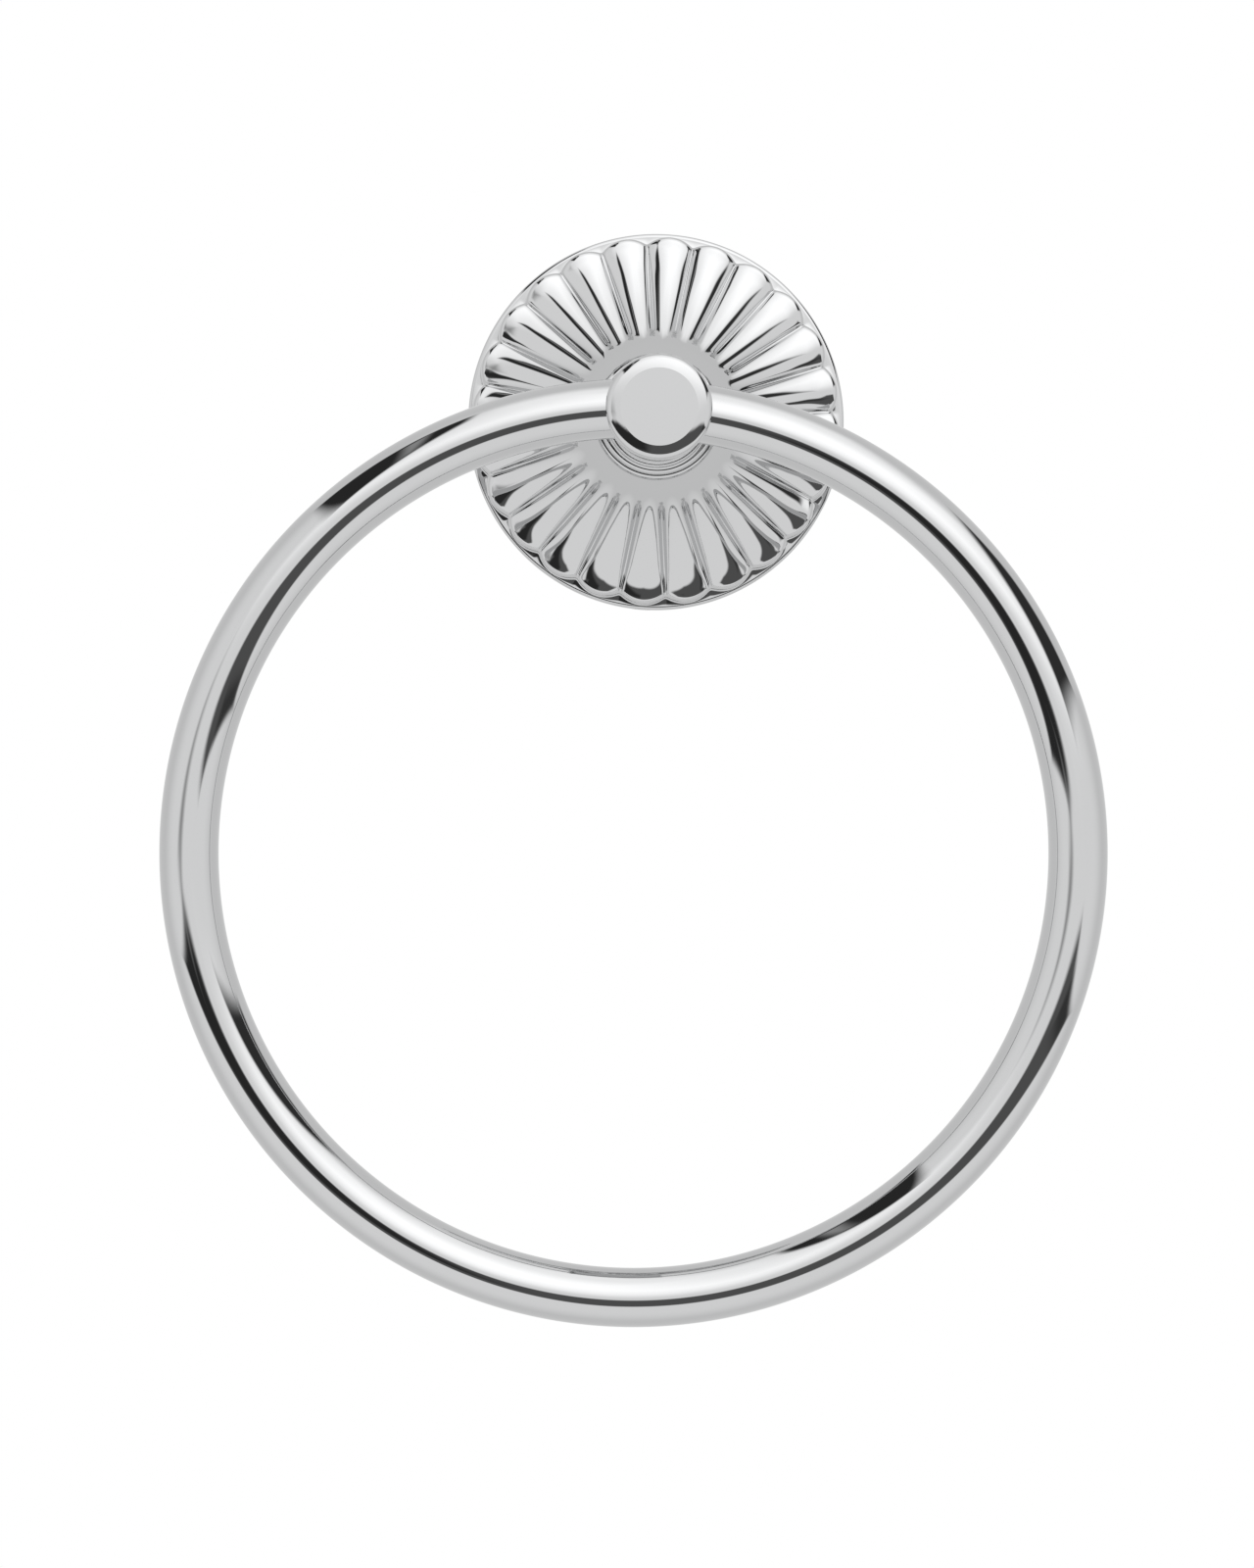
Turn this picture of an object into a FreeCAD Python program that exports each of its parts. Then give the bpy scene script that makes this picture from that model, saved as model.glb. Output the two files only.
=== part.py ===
# Towel ring: a fluted round rosette on the wall, a turned post, and a round ring through the post.
# Millimetres. The origin is the centre of the rosette's back, on the wall; +Z is up, the room is at -Y.
# Each piece is drawn in its own wall frame, X right, Y up and Z out from the wall, and its Placement
# stands that frame up.
import FreeCAD, Part
import math
import os
import Sketcher

doc = FreeCAD.newDocument("towel_ring")
sheet = doc.addObject("Spreadsheet::Sheet", "sizes")

SIZES = [
    # the ring: one round rod bent to a circle
    ("ring_diameter", 152.4, "over the outside of the ring"),
    ("rod_diameter", 9.525, "thickness of the ring"),
    ("ring_joint_gap", 0.3, "between the two ends of the rod, inside the post"),
    ("bore_clearance", 0.1, "all round the rod in the post's cross bore"),
    # the post: turned, with a collar at its foot
    ("projection", 63.5, "from the wall to the post's tip"),
    ("tip_overhang", 10.0, "from the middle of the rod to the post's tip"),
    ("post_diameter", 17.0, "the post's barrel"),
    ("collar_diameter", 19.3, "the collar at the post's foot"),
    ("collar_height", 2.0, "length of the collar"),
    ("collar_round", 0.8, "rounding of the collar's edge"),
    ("neck_fillet", 0.5, "hollow between collar and barrel"),
    ("tip_face_diameter", 12.4, "flat face on the post's tip"),
    ("tip_shoulder_radius", 9.0, "shoulder round the flat face"),
    ("tip_shoulder_step", 5.0, "degrees that the shoulder leans at the face's edge"),
    ("tip_shoulder_lean", 14.0, "degrees that it leans at its outer edge"),
    ("tip_edge_radius", 1.2, "rounding between shoulder and barrel"),
    # the rosette: a cast shell with a plain rim, lobes and a hollow cove up to its hub
    ("rosette_diameter", 63.5, "over the plain rim"),
    ("rim_height", 5.5, "from the wall to the ledge round the lobes"),
    ("rim_round", 0.6, "rounding of the rim's front edge"),
    ("hub_height", 27.5, "from the wall to the post's seat"),
    ("hub_diameter", 19.7, "the post's seat on the rosette"),
    ("cove_foot_diameter", 28.4, "where the cove ends, between the lobes"),
    ("cove_turn", 12.0, "degrees that the cove turns through"),
    ("lobe_count", 24, "lobes round the rosette"),
    ("ledge_width", 0.95, "from the lobes' outer ends to the edge of the rim"),
    ("lobe_fullness", 0.176, "radius of a lobe's round end over the way from the axis to that end"),
    ("lobe_end_height", 2.0, "from the ledge to the middle of that round end"),
    ("lobe_root", 13.0, "from the axis to a lobe's inner end"),
    ("lobe_root_radius", 1.2, "radius of a lobe at its inner end"),
    ("lobe_root_drop", 9.5, "from the post's seat down to the middle of that inner end"),
    ("lobe_sink", 0.5, "how far the lobes' feet lie below the ledge"),
    ("valley_rise", 0.5, "how far the shell between the lobes lies over their middle line"),
    ("rosette_turn", 1.25, "degrees that the rosette is turned on the wall, clockwise"),
    ("shell_wall", 2.2, "wall of the shell under the lobes"),
    ("skirt_wall", 4.3, "wall of the rim, which holds the set screw"),
    ("hub_web", 3.8, "thickness of the hub, between post and washers"),
    ("hub_pocket_diameter", 17.0, "flat seat for the washers behind the hub"),
    # the bracket: a round plate screwed to the wall, inside the rim
    ("bracket_clearance", 0.2, "between the bracket's edge and the rim"),
    ("bracket_height", 4.0, "thickness of the bracket"),
    ("bracket_edge_chamfer", 0.5, "chamfer of the bracket's front edge"),
    ("groove_height", 2.2, "from the wall to the groove for the set screw"),
    ("groove_depth", 0.8, "depth of that groove"),
    ("wall_hole_inset", 8.25, "from the bracket's edge to the middle of a hole for a wall screw"),
    ("wall_hole_diameter", 5.0, "holes for the wall screws"),
    ("wall_hole_sink", 9.0, "countersink of these holes"),
    # the fasteners
    ("thread_diameter", 6.0, "post screw and ring set screw"),
    ("thread_clearance", 0.1, "all round a thread in its hole"),
    ("post_screw_head", 10.0, "diameter of the post screw's head"),
    ("post_screw_head_height", 6.0, "height of that head"),
    ("screw_gap", 4.7, "between the post screw and the ring's set screw, inside the post"),
    ("hex_key", 5.0, "across the flats of the post screw's socket"),
    ("hex_depth", 3.0, "depth of that socket"),
    ("lock_washer_diameter", 10.2, "split washer"),
    ("lock_washer_height", 1.5, "thickness of the split washer"),
    ("lock_washer_split", 18.0, "degrees of its split"),
    ("flat_washer_diameter", 12.5, "flat washer"),
    ("flat_washer_height", 1.2, "thickness of the flat washer"),
    ("washer_clearance", 0.2, "all round the screw in the washers"),
    ("ring_set_screw_length", 8.0, "set screw that holds the ring"),
    ("set_screw_key", 3.0, "across the flats of its socket"),
    ("set_screw_key_depth", 3.0, "depth of its socket"),
    ("rim_set_screw_diameter", 3.0, "set screw in the rim"),
    ("rim_set_screw_key", 1.5, "across the flats of its socket"),
    ("rim_set_screw_key_depth", 1.5, "depth of its socket"),
    ("point_clearance", 0.1, "between its point and the bottom of the bracket's groove"),
    ("rim_set_screw_recess", 0.4, "how far it lies inside the rim's surface"),
    ("end_chamfer", 0.5, "chamfer on the ends of the screws"),
]
for row, (alias, number, note) in enumerate(SIZES, start=1):
    sheet.set("A%d" % row, alias)
    sheet.set("B%d" % row, str(number))
    sheet.set("C%d" % row, note)
    sheet.setAlias("B%d" % row, alias)
doc.recompute()


def worth(expression):
    """The value of an expression in the sheet's sizes, as a plain number."""
    result = sheet.evalExpression(expression)
    return float(getattr(result, "Value", result))


# Lengths that several pieces share, written as expressions in the sheet's sizes.
ROD = "sizes.rod_diameter / 2"
RING = "(sizes.ring_diameter - sizes.rod_diameter) / 2"
RING_PLANE = "(sizes.projection - sizes.tip_overhang)"
BORE = "(sizes.rod_diameter / 2 + sizes.bore_clearance)"
POST_LENGTH = "(sizes.projection - sizes.hub_height)"
THREAD = "sizes.thread_diameter / 2"
TAPPED = "(sizes.thread_diameter / 2 + sizes.thread_clearance)"
RIM = "sizes.rosette_diameter / 2"
RIM_INSIDE = "(sizes.rosette_diameter / 2 - sizes.skirt_wall)"
BRACKET = "(sizes.rosette_diameter / 2 - sizes.skirt_wall - sizes.bracket_clearance)"
SEAT = "(sizes.hub_height - sizes.hub_web)"
RING_SET_SCREW_BACK = "(%s - %s - sizes.ring_set_screw_length)" % (RING_PLANE, ROD)
HALF_PITCH = "(180 / sizes.lobe_count)"

# A lobe is a cone that touches a ball, its round outer end. Its middle line falls from the inner end
# to the ball's centre by AXIS_LEAN, and its crest by CREST_LEAN.
LOBE_REACH = "(%s - sizes.ledge_width)" % RIM
BALL = "(sizes.lobe_fullness * %s)" % LOBE_REACH
BALL_PLACE = "((1 - sizes.lobe_fullness) * %s)" % LOBE_REACH
BALL_HEIGHT = "(sizes.rim_height + sizes.lobe_end_height)"
ROOT_HEIGHT = "(sizes.hub_height - sizes.lobe_root_drop)"
AXIS_RUN = "(%s - sizes.lobe_root)" % BALL_PLACE
AXIS_DROP = "(%s - %s)" % (ROOT_HEIGHT, BALL_HEIGHT)
AXIS_LEAN = "atan(%s / %s)" % (AXIS_DROP, AXIS_RUN)
CREST_LEAN = "(%s - asin((%s - sizes.lobe_root_radius) / sqrt(%s ^ 2 + %s ^ 2)))" % (
    AXIS_LEAN, BALL, AXIS_RUN, AXIS_DROP)


def on_plane(body, name, role):
    """A new sketch on one of the body's own origin planes."""
    sketch = body.newObject("Sketcher::SketchObject", name)
    plane = [f for f in body.Origin.OriginFeatures if f.Role == role][0]
    sketch.AttachmentSupport = [(plane, "")]
    sketch.MapMode = "FlatFace"
    return sketch


def hold(sketch, kind, where, expression, name):
    """A constraint bound to an expression."""
    index = sketch.addConstraint(Sketcher.Constraint(kind, *where, worth(expression)))
    sketch.renameConstraint(index, name)
    sketch.setExpression("Constraints." + name, expression)


def arc_between(start, end, radius, turn):
    """The arc from start to end that turns left or right, and whether it is drawn backwards."""
    chord = math.dist(start, end)
    rise = math.sqrt(max(radius ** 2 - (chord / 2) ** 2, 0.0))
    side = 1.0 if turn == "left" else -1.0
    across = (-(end[1] - start[1]) / chord, (end[0] - start[0]) / chord)
    centre = FreeCAD.Vector((start[0] + end[0]) / 2 + side * rise * across[0],
                            (start[1] + end[1]) / 2 + side * rise * across[1], 0)
    first, last = (start, end) if turn == "left" else (end, start)
    angles = [math.atan2(p[1] - centre.y, p[0] - centre.x) for p in (first, last)]
    circle = Part.Circle(centre, FreeCAD.Vector(0, 0, 1), radius)
    return Part.ArcOfCircle(circle, angles[0], angles[1])


def draw(sketch, corners, prefix=""):
    """A closed outline. A corner is (x, y); a corner (x, y, radius, turn) is reached by an arc."""
    places = [(worth(c[0]), worth(c[1])) for c in corners]
    pieces = []
    for i, corner in enumerate(corners):
        start, end = places[i - 1], places[i]
        if len(corner) == 2:
            line = Part.LineSegment(FreeCAD.Vector(*start, 0), FreeCAD.Vector(*end, 0))
            pieces.append((sketch.addGeometry(line, False), 1, 2))
        else:
            arc = arc_between(start, end, worth(corner[2]), corner[3])
            first, last = (1, 2) if corner[3] == "left" else (2, 1)
            pieces.append((sketch.addGeometry(arc, False), first, last))
    for i, (geometry, first, last) in enumerate(pieces):
        follows = pieces[(i + 1) % len(pieces)]
        sketch.addConstraint(Sketcher.Constraint("Coincident", geometry, last, follows[0], follows[1]))
        for kind, axis, letter, text in (("DistanceX", -2, "x", corners[i][0]),
                                         ("DistanceY", -1, "y", corners[i][1])):
            if text == "0":
                sketch.addConstraint(Sketcher.Constraint("PointOnObject", geometry, last, axis))
            else:
                hold(sketch, kind, (-1, 1, geometry, last), text, "%s%s%d" % (prefix, letter, i))
        if len(corners[i]) == 4:
            hold(sketch, "Radius", (geometry,), corners[i][2], "%sradius%d" % (prefix, i))
    return pieces


def draw_circle(sketch, x, y, radius):
    """One circle, with its centre and radius bound to expressions."""
    circle = Part.Circle(FreeCAD.Vector(worth(x), worth(y), 0), FreeCAD.Vector(0, 0, 1), worth(radius))
    geometry = sketch.addGeometry(circle, False)
    for kind, axis, text in (("DistanceX", -2, x), ("DistanceY", -1, y)):
        if text == "0":
            sketch.addConstraint(Sketcher.Constraint("PointOnObject", geometry, 3, axis))
        else:
            hold(sketch, kind, (-1, 1, geometry, 3), text, "centre" + kind[-1].lower())
    hold(sketch, "Radius", (geometry,), radius, "radius")


def draw_axis(sketch, start, end):
    """A construction line that a feature turns about."""
    ends = [(worth(p[0]), worth(p[1])) for p in (start, end)]
    line = Part.LineSegment(FreeCAD.Vector(*ends[0], 0), FreeCAD.Vector(*ends[1], 0))
    geometry = sketch.addGeometry(line, True)
    for place, (x, y) in ((1, start), (2, end)):
        for kind, axis, text in (("DistanceX", -2, x), ("DistanceY", -1, y)):
            if text == "0":
                sketch.addConstraint(Sketcher.Constraint("PointOnObject", geometry, place, axis))
            else:
                hold(sketch, kind, (-1, 1, geometry, place), text, "axis%s%d" % (kind[-1].lower(), place))


def turned(body, name, sketch, kind="Revolution", axis="V_Axis", angle="360", midplane=False):
    """A feature turned about a line of its sketch: a Revolution adds, a Groove cuts."""
    feature = body.newObject("PartDesign::" + kind, name)
    feature.Profile = sketch
    feature.ReferenceAxis = (sketch, [axis])
    feature.Midplane = midplane
    feature.setExpression("Angle", angle)
    sketch.Visibility = False
    return feature


def cut_in(body, name, sketch, length, reverse):
    """A pocket of a given depth."""
    feature = body.newObject("PartDesign::Pocket", name)
    feature.Profile = sketch
    feature.Reversed = reverse
    feature.setExpression("Length", length)
    return feature


def new_body(name):
    """A body of this document."""
    return doc.addObject("PartDesign::Body", name)


def hexagon(across_flats):
    """Corners of a hexagon about the sketch's origin."""
    corner = across_flats + " / sqrt(3)"
    turns = range(30, 390, 60)
    return [("%s * cos(%d)" % (corner, turn), "%s * sin(%d)" % (corner, turn)) for turn in turns]


def stand_up(piece, name, height, turn="0"):
    """Gives a piece its label, and its place: its own Z points out of the wall, height from it."""
    piece.Label = name
    piece.setExpression("Placement", "placement(vector(0; -(%s); 0); rotation(vector(1; 0; 0); 90)"
                        " * rotation(vector(0; 0; 1); -(%s)))" % (height, turn))
    return piece


def make_ring():
    """The rod's section, turned about the middle of the ring. Its two ends meet at the top."""
    body = new_body("ring_body")
    section = on_plane(body, "rod_section", "YZ_Plane")
    draw_circle(section, RING, "0", ROD)
    turned(body, "bent_rod", section, angle="360 - sizes.ring_joint_gap / (%s) * 180 / pi" % RING)
    body.Label = "ring"
    body.setExpression("Placement", "placement(vector(0; -(%s); -(%s)); rotation(vector(1; 0; 0); 90))"
                       % (RING_PLANE, RING))
    return body


def make_post():
    """A turned post with a collar, a cross bore that follows the ring, and a tapped hole from behind."""
    body = new_body("post_body")
    outline = on_plane(body, "post_outline", "XZ_Plane")
    barrel = "sizes.post_diameter / 2"
    collar = "sizes.collar_diameter / 2"
    face = "sizes.tip_face_diameter / 2"
    shoulder_x = "%s + sizes.tip_shoulder_radius * (sin(sizes.tip_shoulder_lean) - %s)" % (
        face, "sin(sizes.tip_shoulder_step)")
    shoulder_z = "%s - sizes.tip_shoulder_radius * (cos(sizes.tip_shoulder_step) - %s)" % (
        POST_LENGTH, "cos(sizes.tip_shoulder_lean)")
    edge_z = "%s - sqrt(sizes.tip_edge_radius ^ 2 - (%s - sizes.tip_edge_radius - (%s)) ^ 2)" % (
        shoulder_z, barrel, shoulder_x)
    draw(outline, [
        ("0", "0"),
        (collar, "0"),
        (collar, "sizes.collar_height - sizes.collar_round"),
        (collar + " - sizes.collar_round", "sizes.collar_height", "sizes.collar_round", "left"),
        (barrel + " + sizes.neck_fillet", "sizes.collar_height"),
        (barrel, "sizes.collar_height + sizes.neck_fillet", "sizes.neck_fillet", "right"),
        (barrel, edge_z),
        (shoulder_x, shoulder_z, "sizes.tip_edge_radius", "left"),
        (face, POST_LENGTH, "sizes.tip_shoulder_radius", "left"),
        ("0", POST_LENGTH),
    ])
    turned(body, "turned_post", outline)
    bore = on_plane(body, "bore_section", "YZ_Plane")
    ring_height = "%s - sizes.tip_overhang" % POST_LENGTH
    draw_circle(bore, "0", ring_height, BORE)
    draw_axis(bore, ("-(%s)" % RING, "0"), ("-(%s)" % RING, ring_height))
    turned(body, "cross_bore", bore, "Groove", "Axis0", "2 * asin(sizes.post_diameter / (%s))" % RING, True)
    hole = on_plane(body, "tapped_hole_section", "XY_Plane")
    draw_circle(hole, "0", "0", TAPPED)
    cut_in(body, "tapped_hole", hole, ring_height, True)
    return stand_up(body, "post", "sizes.hub_height")


def make_lobe_sector():
    """One lobe, trimmed to its share of the circle, with an upright wall under its round end."""
    seed = new_body("lobe_seed")
    outline = on_plane(seed, "lobe_outline", "XZ_Plane")
    axis_start = ("sizes.lobe_root", ROOT_HEIGHT)
    draw(outline, [
        axis_start,
        ("%s + %s * cos(%s)" % (BALL_PLACE, BALL, AXIS_LEAN),
         "%s - %s * sin(%s)" % (BALL_HEIGHT, BALL, AXIS_LEAN)),
        ("%s + %s * sin(%s)" % (BALL_PLACE, BALL, CREST_LEAN),
         "%s + %s * cos(%s)" % (BALL_HEIGHT, BALL, CREST_LEAN), BALL, "left"),
        ("sizes.lobe_root + sizes.lobe_root_radius * sin(%s)" % CREST_LEAN,
         "%s + sizes.lobe_root_radius * cos(%s)" % (ROOT_HEIGHT, CREST_LEAN)),
    ])
    draw_axis(outline, axis_start, (BALL_PLACE, BALL_HEIGHT))
    turned(seed, "seed", outline, axis="Axis0")

    wall = doc.addObject("Part::Cylinder", "lobe_end_wall")
    wall.setExpression("Radius", BALL)
    wall.setExpression("Height", "sizes.lobe_end_height + sizes.lobe_sink")
    wall.setExpression("Placement.Base.x", BALL_PLACE)
    wall.setExpression("Placement.Base.z", "sizes.rim_height - sizes.lobe_sink")

    lobe = doc.addObject("Part::Fuse", "lobe")
    lobe.Base = seed
    lobe.Tool = wall

    wedge = doc.addObject("Part::Cylinder", "lobe_share")
    wedge.setExpression("Radius", RIM)
    wedge.setExpression("Height", "sizes.projection")
    wedge.setExpression("Angle", "2 * " + HALF_PITCH)
    wedge.setExpression("Placement.Rotation", "rotation(vector(0; 0; 1); -%s)" % HALF_PITCH)

    sector = doc.addObject("Part::Common", "lobe_sector")
    sector.Base = lobe
    sector.Tool = wedge
    return sector


def make_rosette():
    """A shell with a plain rim, a wreath of lobes, and a hub in a hollow cove."""
    shell = new_body("rosette_shell")
    outline = on_plane(shell, "shell_outline", "XZ_Plane")
    hub = "sizes.hub_diameter / 2"
    cove = "sizes.cove_foot_diameter / 2"
    shell_edge = "(%s + %s / 2)" % (BALL_PLACE, BALL)

    def valley(radius):
        return "(%s + sizes.valley_rise + (%s - %s) * %s / %s)" % (
            BALL_HEIGHT, BALL_PLACE, radius, AXIS_DROP, AXIS_RUN)

    cove_radius = "sqrt((%s - %s) ^ 2 + (sizes.hub_height - %s) ^ 2) / (2 * sin(sizes.cove_turn / 2))" % (
        cove, hub, valley(cove))
    draw(outline, [
        ("0", "0"),
        (RIM, "0"),
        (RIM, "sizes.rim_height - sizes.rim_round"),
        (RIM + " - sizes.rim_round", "sizes.rim_height", "sizes.rim_round", "left"),
        (shell_edge, "sizes.rim_height"),
        (shell_edge, BALL_HEIGHT),
        (BALL_PLACE, valley(BALL_PLACE)),
        (cove, valley(cove)),
        (hub, "sizes.hub_height", cove_radius, "right"),
        ("0", "sizes.hub_height"),
    ])
    turned(shell, "turned_shell", outline)

    wreath = new_body("lobe_wreath")
    wreath.BaseFeature = make_lobe_sector()
    doc.recompute()
    pattern = wreath.newObject("PartDesign::PolarPattern", "lobes_round")
    pattern.TransformMode = "Whole shape"
    axis = [f for f in wreath.Origin.OriginFeatures if f.Role == "Z_Axis"][0]
    pattern.Axis = (axis, [""])
    pattern.Angle = 360
    pattern.setExpression("Occurrences", "sizes.lobe_count")
    wreath.Tip = pattern

    lobed = doc.addObject("Part::Fuse", "lobed_shell")
    lobed.Base = shell
    lobed.Tool = wreath

    hollow = new_body("rosette_hollow")
    inside = on_plane(hollow, "hollow_outline", "XZ_Plane")
    pocket = "sizes.hub_pocket_diameter / 2"
    draw(inside, [
        ("0", "-sizes.rim_height"),
        (RIM_INSIDE, "-sizes.rim_height"),
        (RIM_INSIDE, "sizes.rim_height - sizes.shell_wall / 2"),
        (BALL_PLACE, valley(BALL_PLACE) + " - sizes.shell_wall"),
        (cove + " - sizes.shell_wall", valley(cove) + " - sizes.shell_wall"),
        (pocket, SEAT),
        ("0", SEAT),
    ])
    turned(hollow, "hollow_behind", inside)
    doc.recompute()
    hub_hole = on_plane(hollow, "hub_hole_section", "XY_Plane")
    draw_circle(hub_hole, "0", "0", TAPPED)
    post_hole = hollow.newObject("PartDesign::Pad", "hub_hole")
    post_hole.Profile = hub_hole
    post_hole.setExpression("Length", "sizes.hub_height + sizes.hub_web")
    rim_hole = on_plane(hollow, "rim_hole_section", "XZ_Plane")
    rim_hole_radius = "sizes.rim_set_screw_diameter / 2 + sizes.thread_clearance"
    draw_circle(rim_hole, "0", "sizes.groove_height", rim_hole_radius)
    set_screw_hole = hollow.newObject("PartDesign::Pad", "rim_hole")
    set_screw_hole.Profile = rim_hole
    set_screw_hole.setExpression("Length", "sizes.rosette_diameter / 2 + sizes.rim_round")

    rosette = doc.addObject("Part::Cut", "rosette_cut")
    rosette.Base = lobed
    rosette.Tool = hollow
    return stand_up(rosette, "rosette", "0", "sizes.rosette_turn")


def make_bracket():
    """A round plate with a vee groove round its edge and two countersunk holes for wall screws."""
    body = new_body("bracket_body")
    outline = on_plane(body, "bracket_outline", "XZ_Plane")
    draw(outline, [
        ("0", "0"),
        (BRACKET, "0"),
        (BRACKET, "sizes.groove_height - sizes.groove_depth"),
        (BRACKET + " - sizes.groove_depth", "sizes.groove_height"),
        (BRACKET, "sizes.groove_height + sizes.groove_depth"),
        (BRACKET, "sizes.bracket_height - sizes.bracket_edge_chamfer"),
        (BRACKET + " - sizes.bracket_edge_chamfer", "sizes.bracket_height"),
        ("0", "sizes.bracket_height"),
    ])
    turned(body, "plate", outline)
    hole = on_plane(body, "wall_hole_outline", "XZ_Plane")
    middle = "(%s - sizes.wall_hole_inset)" % BRACKET
    bore = "sizes.wall_hole_diameter / 2"
    sink = "sizes.wall_hole_sink / 2"
    draw(hole, [
        (middle, "-sizes.bracket_height"),
        ("%s + %s" % (middle, bore), "-sizes.bracket_height"),
        ("%s + %s" % (middle, bore), "sizes.bracket_height - (%s - %s)" % (sink, bore)),
        ("%s + %s" % (middle, sink), "sizes.bracket_height"),
        (middle, "sizes.bracket_height"),
    ])
    draw_axis(hole, (middle, "0"), (middle, "sizes.bracket_height"))
    first = turned(body, "wall_hole", hole, "Groove", "Axis0")
    doc.recompute()
    pattern = body.newObject("PartDesign::PolarPattern", "wall_holes")
    pattern.Originals = [first]
    pattern.Axis = (hole, ["V_Axis"])
    pattern.Angle = 360
    pattern.Occurrences = 2
    body.Tip = pattern
    return stand_up(body, "wall_bracket", "0")


def make_post_screw():
    """A socket head screw, drawn from the back of its head."""
    body = new_body("post_screw_body")
    outline = on_plane(body, "screw_outline", "XZ_Plane")
    head = "sizes.post_screw_head / 2"
    under_head = "(%s - sizes.flat_washer_height - sizes.lock_washer_height)" % SEAT
    length = "sizes.post_screw_head_height + %s - sizes.screw_gap - %s" % (RING_SET_SCREW_BACK, under_head)
    draw(outline, [
        ("0", "0"),
        (head + " - sizes.end_chamfer", "0"),
        (head, "sizes.end_chamfer"),
        (head, "sizes.post_screw_head_height"),
        (THREAD, "sizes.post_screw_head_height"),
        (THREAD, length + " - sizes.end_chamfer"),
        (THREAD + " - sizes.end_chamfer", length),
        ("0", length),
    ])
    turned(body, "turned_screw", outline)
    socket = on_plane(body, "screw_socket_outline", "XY_Plane")
    draw(socket, hexagon("sizes.hex_key"))
    cut_in(body, "screw_socket", socket, "sizes.hex_depth", True)
    return stand_up(body, "post_screw", under_head + " - sizes.post_screw_head_height")


def make_washer(name, diameter, thickness, height, angle):
    """A flat ring under the post screw's head; a split washer isn't turned all the way."""
    body = new_body(name + "_body")
    outline = on_plane(body, name + "_outline", "XZ_Plane")
    bore = "%s + sizes.washer_clearance" % THREAD
    draw(outline, [
        (bore, "0"),
        (diameter + " / 2", "0"),
        (diameter + " / 2", thickness),
        (bore, thickness),
    ])
    turned(body, name + "_ring", outline, angle=angle)
    return stand_up(body, name, height)


def make_ring_set_screw():
    """A socket set screw in the post's tapped hole, with its flat end against the ring."""
    body = new_body("ring_set_screw_body")
    outline = on_plane(body, "ring_set_screw_outline", "XZ_Plane")
    draw(outline, [
        ("0", "0"),
        (THREAD + " - sizes.end_chamfer", "0"),
        (THREAD, "sizes.end_chamfer"),
        (THREAD, "sizes.ring_set_screw_length - sizes.end_chamfer"),
        (THREAD + " - sizes.end_chamfer", "sizes.ring_set_screw_length"),
        ("0", "sizes.ring_set_screw_length"),
    ])
    turned(body, "turned_set_screw", outline)
    socket = on_plane(body, "set_screw_socket_outline", "XY_Plane")
    draw(socket, hexagon("sizes.set_screw_key"))
    cut_in(body, "set_screw_socket", socket, "sizes.set_screw_key_depth", True)
    return stand_up(body, "ring_set_screw", RING_SET_SCREW_BACK)


def make_rim_set_screw():
    """A small set screw, up through the underside of the rim, with its point in the bracket's groove."""
    body = new_body("rim_set_screw_body")
    outline = on_plane(body, "rim_set_screw_outline", "XZ_Plane")
    radius = "sizes.rim_set_screw_diameter / 2"
    point = "(%s - sizes.groove_depth + sizes.point_clearance)" % BRACKET
    outside = "(%s - sizes.rim_set_screw_recess)" % RIM
    length = "(%s - %s)" % (outside, point)
    draw(outline, [
        ("0", "0"),
        (radius, "0"),
        (radius, "%s - %s" % (length, radius)),
        ("0", length),
    ])
    turned(body, "turned_rim_set_screw", outline)
    socket = on_plane(body, "rim_set_screw_socket_outline", "XY_Plane")
    draw(socket, hexagon("sizes.rim_set_screw_key"))
    cut_in(body, "rim_set_screw_socket", socket, "sizes.rim_set_screw_key_depth", True)
    body.Label = "rim_set_screw"
    place = "vector(-%s * sin(sizes.rosette_turn); -sizes.groove_height; -%s * cos(sizes.rosette_turn))" % (
        outside, outside)
    body.setExpression("Placement", "placement(%s; rotation(vector(0; 1; 0); sizes.rosette_turn))" % place)
    return body


def check(pieces):
    """Stops unless every object is sound and every piece has a valid shape."""
    for thing in doc.Objects:
        if {"Invalid", "Error"} & set(thing.State):
            raise RuntimeError("%s failed: %s" % (thing.Label, thing.State))
    for piece in pieces:
        if piece.Shape.isNull() or not piece.Shape.isValid():
            raise RuntimeError("%s has no valid shape" % piece.Label)


pieces = [
    make_rosette(),
    make_post(),
    make_ring(),
    make_bracket(),
    make_post_screw(),
    make_washer("lock_washer", "sizes.lock_washer_diameter", "sizes.lock_washer_height",
                SEAT + " - sizes.flat_washer_height - sizes.lock_washer_height",
                "360 - sizes.lock_washer_split"),
    make_washer("flat_washer", "sizes.flat_washer_diameter", "sizes.flat_washer_height",
                SEAT + " - sizes.flat_washer_height", "360"),
    make_ring_set_screw(),
    make_rim_set_screw(),
]
doc.recompute()
check(pieces)
os.makedirs("parts", exist_ok=True)
for piece in pieces:
    piece.Shape.exportStep("parts/%s.step" % piece.Label)
    box = piece.Shape.BoundBox
    print("%-15s solids %d volume %9.2f  x %.2f..%.2f  y %.2f..%.2f  z %.2f..%.2f" % (
        piece.Label, len(piece.Shape.Solids), piece.Shape.Volume,
        box.XMin, box.XMax, box.YMin, box.YMax, box.ZMin, box.ZMax))
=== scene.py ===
"""A chrome towel ring: a lobed round rosette, a turned post and a full round ring through it.

The frame is in metres, +Z up, the wall in the plane y = 0 and the room at -Y. Sizes below are in
millimetres, as on the maker's drawing. A point of the drawing is (x, height, out), with out measured
from the wall, and stands at (x, -out, height) in the frame.
"""
import math

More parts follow.
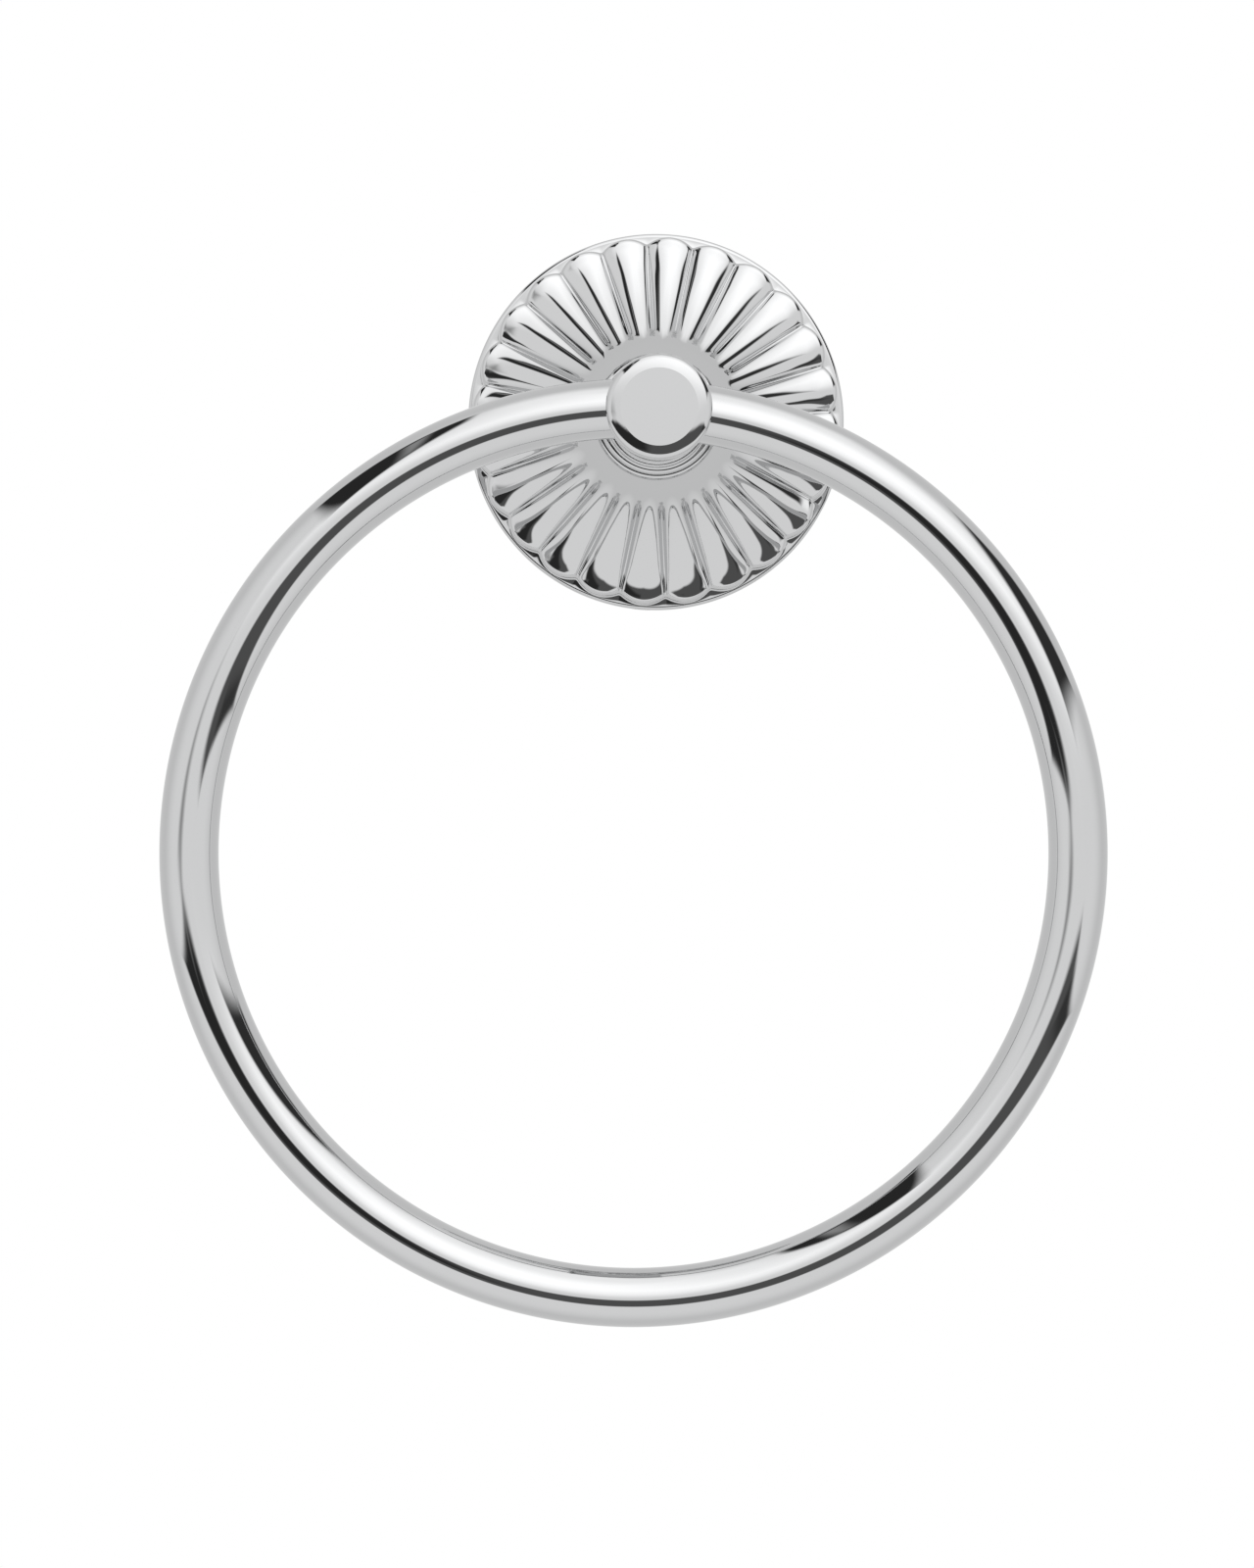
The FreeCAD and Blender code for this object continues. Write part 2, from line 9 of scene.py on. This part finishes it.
import bmesh
import bpy
import numpy as np
from mathutils import Matrix, Vector


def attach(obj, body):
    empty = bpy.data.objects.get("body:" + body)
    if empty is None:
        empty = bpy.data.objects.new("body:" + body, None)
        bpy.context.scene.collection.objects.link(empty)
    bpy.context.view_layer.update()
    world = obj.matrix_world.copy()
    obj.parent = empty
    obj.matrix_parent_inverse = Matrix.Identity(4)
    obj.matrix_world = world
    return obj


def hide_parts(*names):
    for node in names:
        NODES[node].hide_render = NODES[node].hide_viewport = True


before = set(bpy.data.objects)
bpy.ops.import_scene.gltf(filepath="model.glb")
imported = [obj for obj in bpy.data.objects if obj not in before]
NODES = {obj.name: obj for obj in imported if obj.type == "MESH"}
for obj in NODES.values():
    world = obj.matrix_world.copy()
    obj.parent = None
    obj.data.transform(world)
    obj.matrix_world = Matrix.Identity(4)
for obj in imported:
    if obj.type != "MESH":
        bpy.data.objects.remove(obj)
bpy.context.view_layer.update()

MM = 0.001


# Materials

class Graph:
    """Short ways to add nodes to a shader tree."""

    def __init__(self, tree):
        self.tree = tree

    def node(self, kind, **settings):
        made = self.tree.nodes.new(kind)
        for key, value in settings.items():
            setattr(made, key, value)
        return made

    def feed(self, socket, value):
        """Links a socket to another, or sets it to a number or colour."""
        if isinstance(value, bpy.types.NodeSocket):
            self.tree.links.new(value, socket)
        else:
            socket.default_value = value

    def number(self, operation, *values):
        made = self.node("ShaderNodeMath", operation=operation)
        for socket, value in zip(made.inputs, values):
            self.feed(socket, value)
        return made.outputs[0]

    def vector(self, operation, *values):
        made = self.node("ShaderNodeVectorMath", operation=operation)
        for socket, value in zip(made.inputs, values):
            self.feed(socket, value)
        return made.outputs["Value" if operation == "DOT_PRODUCT" else "Vector"]

    def ramp(self, value, low, high, to_low=0.0, to_high=1.0):
        """A smooth change from to_low to to_high while the value goes from low to high."""
        made = self.node("ShaderNodeMapRange", interpolation_type="SMOOTHSTEP")
        for socket, number in zip(made.inputs, (value, low, high, to_low, to_high)):
            self.feed(socket, number)
        return made.outputs[0]

    def noise(self, per_metre, detail, stretch=(1.0, 1.0, 1.0)):
        """Cloudy noise fixed to the object, finer along an axis that is stretched more."""
        place = self.vector("MULTIPLY", self.node("ShaderNodeTexCoord").outputs["Object"], stretch)
        made = self.node("ShaderNodeTexNoise")
        self.feed(made.inputs["Vector"], place)
        self.feed(made.inputs["Scale"], per_metre)
        self.feed(made.inputs["Detail"], detail)
        return made.outputs[0]

    def bump(self, height, distance):
        made = self.node("ShaderNodeBump")
        self.feed(made.inputs["Height"], height)
        self.feed(made.inputs["Distance"], distance)
        return made.outputs["Normal"]

    def tint(self, share, low, high):
        """A colour between two, by share."""
        made = self.node("ShaderNodeMix", data_type="RGBA")
        self.feed(made.inputs[0], share)
        self.feed(made.inputs[6], (*low, 1.0))
        self.feed(made.inputs[7], (*high, 1.0))
        return made.outputs[2]


def new_material(name, colour, roughness, metallic=1.0):
    """One Principled shader, whose constants sit on its own sockets."""
    material = bpy.data.materials.new(name)
    material.use_nodes = True
    shader = material.node_tree.nodes["Principled BSDF"]
    shader.inputs["Base Color"].default_value = (*colour, 1.0)
    shader.inputs["Roughness"].default_value = roughness
    shader.inputs["Metallic"].default_value = metallic
    return material, shader.inputs, Graph(material.node_tree)


def polished_chrome(name, waves, depth):
    """Mirror chrome: faint buffing haze, and waves left by polishing.

    There are some waves per metre, and their depth is in metres.
    """
    material, inputs, g = new_material(name, (0.605, 0.608, 0.612), 0.03)
    g.feed(inputs["Roughness"], g.ramp(g.noise(160.0, 3.0), 0.3, 0.7, 0.02, 0.045))
    g.feed(inputs["Normal"], g.bump(g.noise(waves, 1.0), depth))
    return material


def zinc_plate():
    """Pressed steel with bright zinc: mottled grey, a little cloudy."""
    material, inputs, g = new_material("zinc_plate", (0.5, 0.52, 0.54), 0.32)
    cloud = g.ramp(g.noise(420.0, 4.0), 0.35, 0.65)
    g.feed(inputs["Base Color"], g.tint(cloud, (0.47, 0.49, 0.51), (0.56, 0.58, 0.59)))
    g.feed(inputs["Roughness"], g.ramp(g.noise(900.0, 2.0), 0.3, 0.7, 0.25, 0.4))
    g.feed(inputs["Normal"], g.bump(g.noise(1500.0, 2.0), 0.00001))
    return material


def screw_steel():
    """Darker screw steel, with fine marks from turning across its length."""
    material, inputs, g = new_material("screw_steel", (0.3, 0.3, 0.31), 0.28)
    marks = g.noise(300.0, 2.0, (1.0, 12.0, 1.0))
    tint = g.tint(g.ramp(marks, 0.3, 0.7), (0.24, 0.24, 0.25), (0.38, 0.38, 0.385))
    g.feed(inputs["Base Color"], tint)
    g.feed(inputs["Roughness"], g.ramp(marks, 0.3, 0.7, 0.22, 0.36))
    g.feed(inputs["Normal"], g.bump(marks, 0.00001))
    return material


def dress(node, material):
    """Gives a CAD node one material."""
    mesh = NODES[node].data
    mesh.materials.clear()
    mesh.materials.append(material)


chrome = polished_chrome("polished_chrome", 90.0, 0.00001)
cast_chrome = polished_chrome("cast_chrome", 150.0, 0.00004)
zinc = zinc_plate()
steel = screw_steel()
FINISHES = {
    "rosette": cast_chrome,
    "post": chrome,
    "ring": chrome,
    "wall_bracket": zinc,
    "flat_washer": zinc,
    "lock_washer": zinc,
}
for name in NODES:
    dress(name, FINISHES.get(name, steel))


# Skins

def turned_skin(name, r, out, clock, centre_height=0.0):
    """A smooth closed mesh round a level axis: rows go along its section, columns round the clock.

    At radius r and clock angle c the point is (r sin c, -out, r cos c + centre_height). The last
    row joins the first, and so do the columns.
    """
    points = np.stack([r * np.sin(clock), -out, r * np.cos(clock) + centre_height], axis=-1) * MM
    rows, columns = r.shape
    i, j = np.meshgrid(np.arange(rows), np.arange(columns), indexing="ij")
    i2, j2 = (i + 1) % rows, (j + 1) % columns
    corners = [i * columns + j, i * columns + j2, i2 * columns + j2, i2 * columns + j]
    faces = np.stack(corners, axis=-1).reshape(-1, 4)
    mesh = bpy.data.meshes.new(name)
    mesh.vertices.add(rows * columns)
    mesh.vertices.foreach_set("co", points.ravel())
    mesh.loops.add(faces.size)
    mesh.loops.foreach_set("vertex_index", faces.ravel())
    mesh.polygons.add(len(faces))
    mesh.polygons.foreach_set("loop_start", np.arange(len(faces)) * 4)
    mesh.update(calc_edges=True)
    mesh.validate()
    mesh.shade_smooth()
    piece = bpy.data.objects.new(name, mesh)
    bpy.context.scene.collection.objects.link(piece)
    return piece


# Rosette

LOBES = 24
HALF_LOBE = math.pi / LOBES
# The whole rosette is turned by this many degrees, clockwise.
ROSETTE_TURN = 1.25

RIM_RADIUS, RIM_HEIGHT, RIM_ROUND = 31.75, 5.5, 0.6
# Rows that keep the rim's flats flat: how far they lie from its rounding and from the wall.
RIM_LAND, RIM_FOOT = 0.02, 0.3
HUB_RADIUS, HUB_HEIGHT, HUB_WEB = 10.2, 27.5, 3.8
SCREW_HOLE_RADIUS = 3.1

# Round the post's collar the seat slopes a little to a lip, under which the hub stands upright.
# The bend at the seat's edge and the lip's edge are (way along, drop).
SEAT_RADIUS, SEAT_BEND = 9.7, (0.05, 0.01)
LIP_DROP, LIP_EDGE = 0.1, (0.06, 0.08)
HUB_NECK = 2.2

# How many degrees the cove and the lobes' crests lean at each radius: steep by the hub, and
# nearly level where the lobes end, as a flare.
CREST_LEANS = [(10.2, 58.0), (12.4, 58.0), (13.2, 50.0), (13.6, 44.5), (14.9, 37.5), (16.0, 34.5),
               (17.6, 31.5), (20.0, 27.5), (22.5, 24.0), (25.0, 21.0), (27.0, 18.8), (28.0, 16.3),
               (28.6, 13.8), (29.4, 11.0), (30.8, 6.0)]
# The leans are worked out at this many radii and evened out twice, over so many of them.
CREST_STEPS, CREST_WINDOW = 3501, 61

# Seen from the front, a lobe's outer end is part of a circle: how far its middle is from the axis,
# its radius, and how roundly the lobe's crest turns over there into an upright wall. At the wall's
# foot a small hollow leads to the ledge, here with its size and how far its middle bulges.
END_PLACE, END_RADIUS, END_ROUND = 25.379, 5.421, 0.75
FOOT_ROUND, FOOT_BEND = 0.3, 0.09

# A lobe is narrower by TAPER for each millimetre inwards, down to NARROWEST. From FLARE_START out
# it widens faster, by FLARE for each square millimetre.
TAPER, NARROWEST = 0.341, 0.05
FLARE_START, FLARE = 24.3, 0.11

# The valleys fade in between two radii, and are no deeper than a share of the lobe's radius. Crest
# and valley join softly, over a share of the valley's depth. The valley's bottom is softened over
# some degrees.
VALLEY_FADE, VALLEY_SHARE, VALLEY_JOIN, VALLEY_SOFT = (13.0, 15.4), 0.8, 0.7, 0.45

# A groove runs along the valleys: its depth, the radii between which it fades in, and the shares of
# a lobe's half width where it starts, at the first radius and at the lobe's end. It narrows outwards.
GROOVE, GROOVE_FADE, GROOVE_START = 0.55, (13.2, 17.0), (0.5, 0.88)

# The hollow behind, as (radius, height): up inside the rim, in under lobes and cove, and to the
# flat seat for the washers.
HOLLOW = [(27.45, 0.0), (27.45, 4.4), (25.379, 5.8), (12.0, 15.28), (8.5, HUB_HEIGHT - HUB_WEB)]

# How fine the skin is. Columns crowd towards the valleys by a power. Rows along a crest: the shares
# of the way out at which their spacing changes, with the number of rows up to there.
COLUMNS_PER_LOBE, CROWDING = 36, 1.35
ROW_SHARES, ROW_COUNTS = (0.0, 0.25, 0.5, 1.0), (0, 13, 38, 63)
END_ROWS, RIM_ROWS = 12, 6


def smooth(x):
    """A rise from 0 to 1 with level ends."""
    x = np.clip(x, 0.0, 1.0)
    return x * x * (3.0 - 2.0 * x)


def crest_table():
    """Radius and height of the crest from the hub out, summed from its slope."""
    r = np.linspace(CREST_LEANS[0][0], CREST_LEANS[-1][0], CREST_STEPS)
    lean = np.interp(r, *zip(*CREST_LEANS))
    window = np.ones(CREST_WINDOW) / CREST_WINDOW
    for _ in range(2):
        lean = np.convolve(np.pad(lean, CREST_WINDOW // 2, mode="edge"), window, mode="valid")
    slope = np.tan(np.radians(lean))
    steps = (slope[1:] + slope[:-1]) / 2 * np.diff(r)
    return r, HUB_HEIGHT - HUB_NECK - np.concatenate([[0.0], np.cumsum(steps)])


CREST = crest_table()


def lobe_radius(u):
    """Radius of a lobe's round section at u: a cone that opens as a flare at the outer end."""
    cone = END_RADIUS - TAPER * (END_PLACE - u)
    return np.maximum(cone, NARROWEST) + FLARE * np.maximum(u - FLARE_START, 0.0) ** 2


def lobe_end(t):
    """How far the round end of a lobe is from the axis, turned by t from its crest."""
    return END_PLACE * np.cos(t) + np.sqrt(END_RADIUS ** 2 - (END_PLACE * np.sin(t)) ** 2)


def top_height(r, t):
    """Height of the skin over the wall at radius r, turned by t from the nearest lobe's crest.

    With u and v the steps along the lobe and beside it, R the lobe's radius and s the way in from
    its end, the skin is crest(u) less the smaller of R - sqrt(R^2 - v^2) and the valley's depth,
    less the groove, less END_ROUND - sqrt(END_ROUND^2 - (END_ROUND - s)^2) where s is less than
    END_ROUND. The groove is GROOVE w^2, with w rising from 0 at its start to 1 in the valley.
    """
    u, v = r * np.cos(t), r * np.sin(t)
    crest = np.interp(u, *CREST)
    radius = lobe_radius(u)
    drop = radius - np.sqrt(np.maximum(radius ** 2 - v ** 2, 0.0))
    fade = smooth((u - VALLEY_FADE[0]) / (VALLEY_FADE[1] - VALLEY_FADE[0]))
    already_down = np.interp(r, *CREST) - crest
    depth = np.maximum(VALLEY_SHARE * radius * fade - already_down, 0.0)
    width = VALLEY_JOIN * depth + 1e-6
    share = np.maximum(width - np.abs(drop - depth), 0.0) / width
    fall = np.minimum(drop, depth) - share * share * width / 4
    start = np.interp(u, (GROOVE_FADE[0], END_PLACE + END_RADIUS), GROOVE_START)
    w = np.maximum(np.abs(t) / HALF_LOBE - start, 0.0) / (1.0 - start)
    groove = GROOVE * w ** 2 * smooth((u - GROOVE_FADE[0]) / (GROOVE_FADE[1] - GROOVE_FADE[0]))
    s = END_RADIUS - np.hypot(np.maximum(u - END_PLACE, 0.0), v)
    over = np.clip(END_ROUND - s, 0.0, END_ROUND)
    return crest - fall - groove - (END_ROUND - np.sqrt(END_ROUND ** 2 - over ** 2))


def rosette_columns():
    """Clock angle of each column of the skin, and how far it is from the nearest crest.

    The second angle levels off just before a valley, which makes the valley's bottom soft.
    """
    steps = np.linspace(0.0, 1.0, COLUMNS_PER_LOBE // 2 + 1)
    side = HALF_LOBE * (1.0 - (1.0 - steps) ** CROWDING)
    lobe = np.concatenate([-side[::-1], side[1:-1]])
    crests = np.arange(LOBES)[:, None] * 2 * HALF_LOBE
    t = np.tile(np.abs(lobe), LOBES)
    soft = math.radians(VALLEY_SOFT) * (t / HALF_LOBE) ** 2
    t = HALF_LOBE - np.sqrt((HALF_LOBE - t) ** 2 + soft ** 2)
    return (crests + lobe[None, :]).ravel(), np.maximum(t, 0.0)


def hub_section():
    """Radius and height from the screw hole over the post's seat to the lip."""
    return [
        (SCREW_HOLE_RADIUS, HUB_HEIGHT - HUB_WEB),
        (SCREW_HOLE_RADIUS, HUB_HEIGHT),
        (SEAT_RADIUS - SEAT_BEND[0], HUB_HEIGHT),
        (SEAT_RADIUS + SEAT_BEND[0], HUB_HEIGHT - SEAT_BEND[1]),
        (HUB_RADIUS - LIP_EDGE[0], HUB_HEIGHT - LIP_DROP),
        (HUB_RADIUS, HUB_HEIGHT - LIP_DROP - LIP_EDGE[1]),
    ]


def lobe_section(t):
    """Radius and height along cove and crest, and down over the lobe's end, at t from the crest."""
    turn_over = lobe_end(t) - END_ROUND
    shares = np.interp(np.arange(ROW_COUNTS[-1] + 1), ROW_COUNTS, ROW_SHARES)
    radii = [HUB_RADIUS + (turn_over - HUB_RADIUS) * share for share in shares]
    for lean in np.radians(np.linspace(0.0, 90.0, END_ROWS + 1)[1:]):
        radii.append(turn_over + END_ROUND * math.sin(lean))
    return [(r, top_height(r, t)) for r in radii]


def rim_section(t):
    """Radius and height from the foot of a lobe's end over ledge and rim to the wall."""
    foot = lobe_end(t)
    section = [
        (foot, RIM_HEIGHT + FOOT_ROUND),
        (foot + FOOT_BEND, RIM_HEIGHT + FOOT_BEND),
        (foot + FOOT_ROUND, RIM_HEIGHT),
        (RIM_RADIUS - RIM_ROUND - RIM_LAND, RIM_HEIGHT),
    ]
    for lean in np.radians(np.linspace(0.0, 90.0, RIM_ROWS + 1)):
        section.append((RIM_RADIUS - RIM_ROUND * (1 - math.sin(lean)),
                        RIM_HEIGHT - RIM_ROUND * (1 - math.cos(lean))))
    return section + [(RIM_RADIUS, RIM_FOOT), (RIM_RADIUS, 0.0)]


def make_rosette():
    """One closed skin: seat, cove, lobes, ledge, rim and the hollow behind."""
    clock, t = rosette_columns()
    section = hub_section() + lobe_section(t) + rim_section(t) + HOLLOW
    r, out = (np.array([np.broadcast_to(place, t.shape) for place in row], dtype=float)
              for row in zip(*section))
    return turned_skin("rosette_skin", r, out, clock + math.radians(ROSETTE_TURN))


# The set screw's hole, up through the underside of the rim: its radius and how far it is from the
# wall. The drill's length, how far its middle is below the axis, and its sides.
RIM_HOLE_RADIUS, RIM_HOLE_HEIGHT = 1.6, 2.2
DRILL_LENGTH, DRILL_PLACE, DRILL_SIDES = 8.0, 30.0, 40


def drill_rim(piece):
    """Cuts the round hole for the set screw through the rim, from below."""
    clock = math.pi + math.radians(ROSETTE_TURN)
    along = Vector((math.sin(clock), 0.0, math.cos(clock)))
    place = Matrix.Translation((along * DRILL_PLACE - Vector((0.0, RIM_HOLE_HEIGHT, 0.0))) * MM)
    shape = bmesh.new()
    bmesh.ops.create_cone(shape, cap_ends=True, segments=DRILL_SIDES, radius1=RIM_HOLE_RADIUS * MM,
                          radius2=RIM_HOLE_RADIUS * MM, depth=DRILL_LENGTH * MM,
                          matrix=place @ along.to_track_quat("Z", "Y").to_matrix().to_4x4())
    cutter = bpy.data.meshes.new("drill")
    shape.to_mesh(cutter)
    shape.free()
    drill = bpy.data.objects.new("drill", cutter)
    bpy.context.scene.collection.objects.link(drill)
    cut = piece.modifiers.new("rim_hole", "BOOLEAN")
    cut.object = drill
    cut.operation = "DIFFERENCE"
    cut.solver = "EXACT"
    bpy.context.view_layer.update()
    drilled = piece.evaluated_get(bpy.context.evaluated_depsgraph_get())
    drilled = bpy.data.meshes.new_from_object(drilled)
    piece.modifiers.clear()
    piece.data = drilled
    bpy.data.objects.remove(drill)


# Ring

# How far the middle of the rod is from the ring's own middle and from the wall. At the ring's top
# it crosses the rosette's axis.
RING_RADIUS, RING_OUT = 71.4375, 53.5
ROD_RADIUS = 4.7625
RING_COLUMNS, ROD_ROWS = 512, 64


def make_ring():
    """A closed torus: rows round the rod, columns round the ring."""
    rod, clock = (np.arange(count) * 2 * math.pi / count for count in (ROD_ROWS, RING_COLUMNS))
    rod, clock = np.meshgrid(rod, clock, indexing="ij")
    return turned_skin("ring_skin", RING_RADIUS + ROD_RADIUS * np.cos(rod),
                       RING_OUT - ROD_RADIUS * np.sin(rod), clock, -RING_RADIUS)


ring_skin = make_ring()
ring_skin.data.materials.append(chrome)
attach(ring_skin, "root")
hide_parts("ring")

rosette_skin = make_rosette()
drill_rim(rosette_skin)
rosette_skin.data.materials.append(cast_chrome)
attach(rosette_skin, "root")
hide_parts("rosette")


# Studio

# The camera stands here, in millimetres, and its axes are these rows: right, down, forward.
CAMERA_PLACE = (-6.088, -951.184, -40.755)
CAMERA_RIGHT = (0.998416, -0.003663, 0.056141)
CAMERA_DOWN = (0.056047, -0.022004, -0.998186)
CAMERA_FORWARD = (0.004892, 0.999751, -0.021764)
FOCAL_PIXELS = 5704.94
IMAGE_WIDTH = 1280
SENSOR = 36.0
# The nearest and farthest that the camera sees, in metres.
CAMERA_REACH = (0.01, 100.0)


def make_camera():
    """The photograph's camera."""
    data = bpy.data.cameras.new("camera")
    data.sensor_fit = "HORIZONTAL"
    data.sensor_width = SENSOR
    data.lens = FOCAL_PIXELS * SENSOR / IMAGE_WIDTH
    data.clip_start, data.clip_end = CAMERA_REACH
    camera = bpy.data.objects.new("camera", data)
    bpy.context.scene.collection.objects.link(camera)
    turn = np.eye(4)
    turn[:3, 0] = CAMERA_RIGHT
    turn[:3, 1] = -np.array(CAMERA_DOWN)
    turn[:3, 2] = -np.array(CAMERA_FORWARD)
    turn[:3, 3] = np.array(CAMERA_PLACE) * MM
    camera.matrix_world = Matrix(turn.tolist())
    bpy.context.scene.camera = camera


# The room is white, and a little dimmer behind the object than before it. The change lies between
# two cosines of the angle from the viewer to a mirror's normal.
ROOM, ROOM_BEHIND, ROOM_CHANGE = 1.0, 0.8, (0.6, 0.89)
# Each light or dark card of the studio is a convex outline in half angles: the (x, z) of a mirror's
# normal that shows the card to a viewer in front. Then how soft its edge is, and its brightness.
CARDS = [
    ("bench", [(-0.5, -0.155), (-0.25, -0.05), (0.0, -0.036), (0.25, -0.03), (0.58, -0.19),
               (0.2, -0.23), (0.0, -0.25), (-0.2, -0.22)], 0.015, 0.11),
    ("bench_left", [(-0.52, -0.16), (-0.25, -0.05), (-0.02, -0.036), (-0.04, -0.17), (-0.25, -0.18)],
     0.02, 0.03),
    ("bench_right", [(0.25, -0.09), (0.35, -0.08), (0.6, -0.19), (0.45, -0.18)], 0.02, 0.05),
    ("stand", [(-0.33, -0.02), (-0.27, 0.1), (-0.2, 0.0), (-0.25, -0.06)], 0.05, 0.4),
    ("ceiling_box", [(-0.24, 0.15), (0.0, 0.09), (0.1, 0.08), (0.38, 0.16), (0.42, 0.4), (0.3, 0.66),
                     (0.0, 0.74), (-0.25, 0.62)], 0.09, 1.32),
    ("ceiling_lamp", [(-0.1, 0.25), (0.05, 0.15), (0.25, 0.18), (0.3, 0.4), (0.15, 0.5), (-0.05, 0.48)],
     0.13, 1.68),
    ("left_flag", [(-0.56, 0.54), (-0.28, 0.65), (-0.25, 0.55), (-0.21, 0.21)], 0.015, 0.03),
    ("left_flag_slit", [(-0.37, 0.57), (-0.34, 0.6), (-0.25, 0.40), (-0.25, 0.37)], 0.015, 0.35),
    ("right_flag", [(0.486, 0.561), (0.60, 0.48), (0.72, 0.31), (0.346, 0.123), (0.39, 0.30)],
     0.03, 0.04),
]


def inside_card(g, half, outline):
    """How far a mirror's normal is inside a convex outline: the least distance to its sides."""
    corners = np.array(outline)
    centre = corners.mean(axis=0)
    inside = None
    for start, end in zip(corners, np.roll(corners, -1, axis=0)):
        normal = np.array([-(end - start)[1], (end - start)[0]]) / np.linalg.norm(end - start)
        if normal @ (centre - start) < 0:
            normal = -normal
        side = g.vector("DOT_PRODUCT", half, (normal[0], 0.0, normal[1]))
        side = g.number("SUBTRACT", side, float(normal @ start))
        inside = side if inside is None else g.number("MINIMUM", inside, side)
    return inside


def make_world():
    """White room light with the studio's cards, and plain white behind the object.

    A card is found from the middle between the ray's direction and the viewer's, which is the
    normal of a mirror that shows it.
    """
    world = bpy.data.worlds.new("studio")
    bpy.context.scene.world = world
    world.use_nodes = True
    tree = world.node_tree
    tree.nodes.clear()
    g = Graph(tree)
    ray = g.node("ShaderNodeTexCoord").outputs["Generated"]
    half = g.vector("NORMALIZE", g.vector("SUBTRACT", ray, CAMERA_FORWARD))
    to_viewer = g.vector("DOT_PRODUCT", half, tuple(-axis for axis in CAMERA_FORWARD))
    light = g.ramp(to_viewer, *ROOM_CHANGE, ROOM_BEHIND, ROOM)
    for name, outline, softness, strength in CARDS:
        made = g.node("ShaderNodeMix", label=name)
        g.feed(made.inputs[0], g.ramp(inside_card(g, half, outline), -softness, softness))
        g.feed(made.inputs[2], light)
        g.feed(made.inputs[3], strength)
        light = made.outputs[0]
    studio = g.node("ShaderNodeBackground")
    g.feed(studio.inputs["Strength"], light)
    white = g.node("ShaderNodeBackground")
    for background in (studio, white):
        background.inputs["Color"].default_value = (1.0, 1.0, 1.0, 1.0)
    mix = g.node("ShaderNodeMixShader")
    g.feed(mix.inputs[0], g.node("ShaderNodeLightPath").outputs["Is Camera Ray"])
    g.feed(mix.inputs[1], studio.outputs[0])
    g.feed(mix.inputs[2], white.outputs[0])
    g.feed(g.node("ShaderNodeOutputWorld").inputs["Surface"], mix.outputs[0])


# The floor, in metres: its middle, its radius and how many sides it has.
FLOOR_MIDDLE, FLOOR_RADIUS, FLOOR_SIDES = (0.0, -0.1, -0.35), 0.85, 96


def make_floor():
    """A pale round floor well under the object, out of the photograph's view."""
    turns = np.arange(FLOOR_SIDES) * 2 * math.pi / FLOOR_SIDES
    points = np.stack([np.cos(turns), np.sin(turns), 0.0 * turns], axis=-1) * FLOOR_RADIUS
    mesh = bpy.data.meshes.new("floor")
    mesh.from_pydata((points + FLOOR_MIDDLE).tolist(), [], [list(range(FLOOR_SIDES))])
    floor = bpy.data.objects.new("floor", mesh)
    bpy.context.scene.collection.objects.link(floor)
    material, _, _ = new_material("floor", (0.82, 0.82, 0.82), 0.9, metallic=0.0)
    floor.data.materials.append(material)
    floor.visible_glossy = False


make_floor()
make_camera()
make_world()
bpy.context.scene.view_settings.view_transform = "Standard"
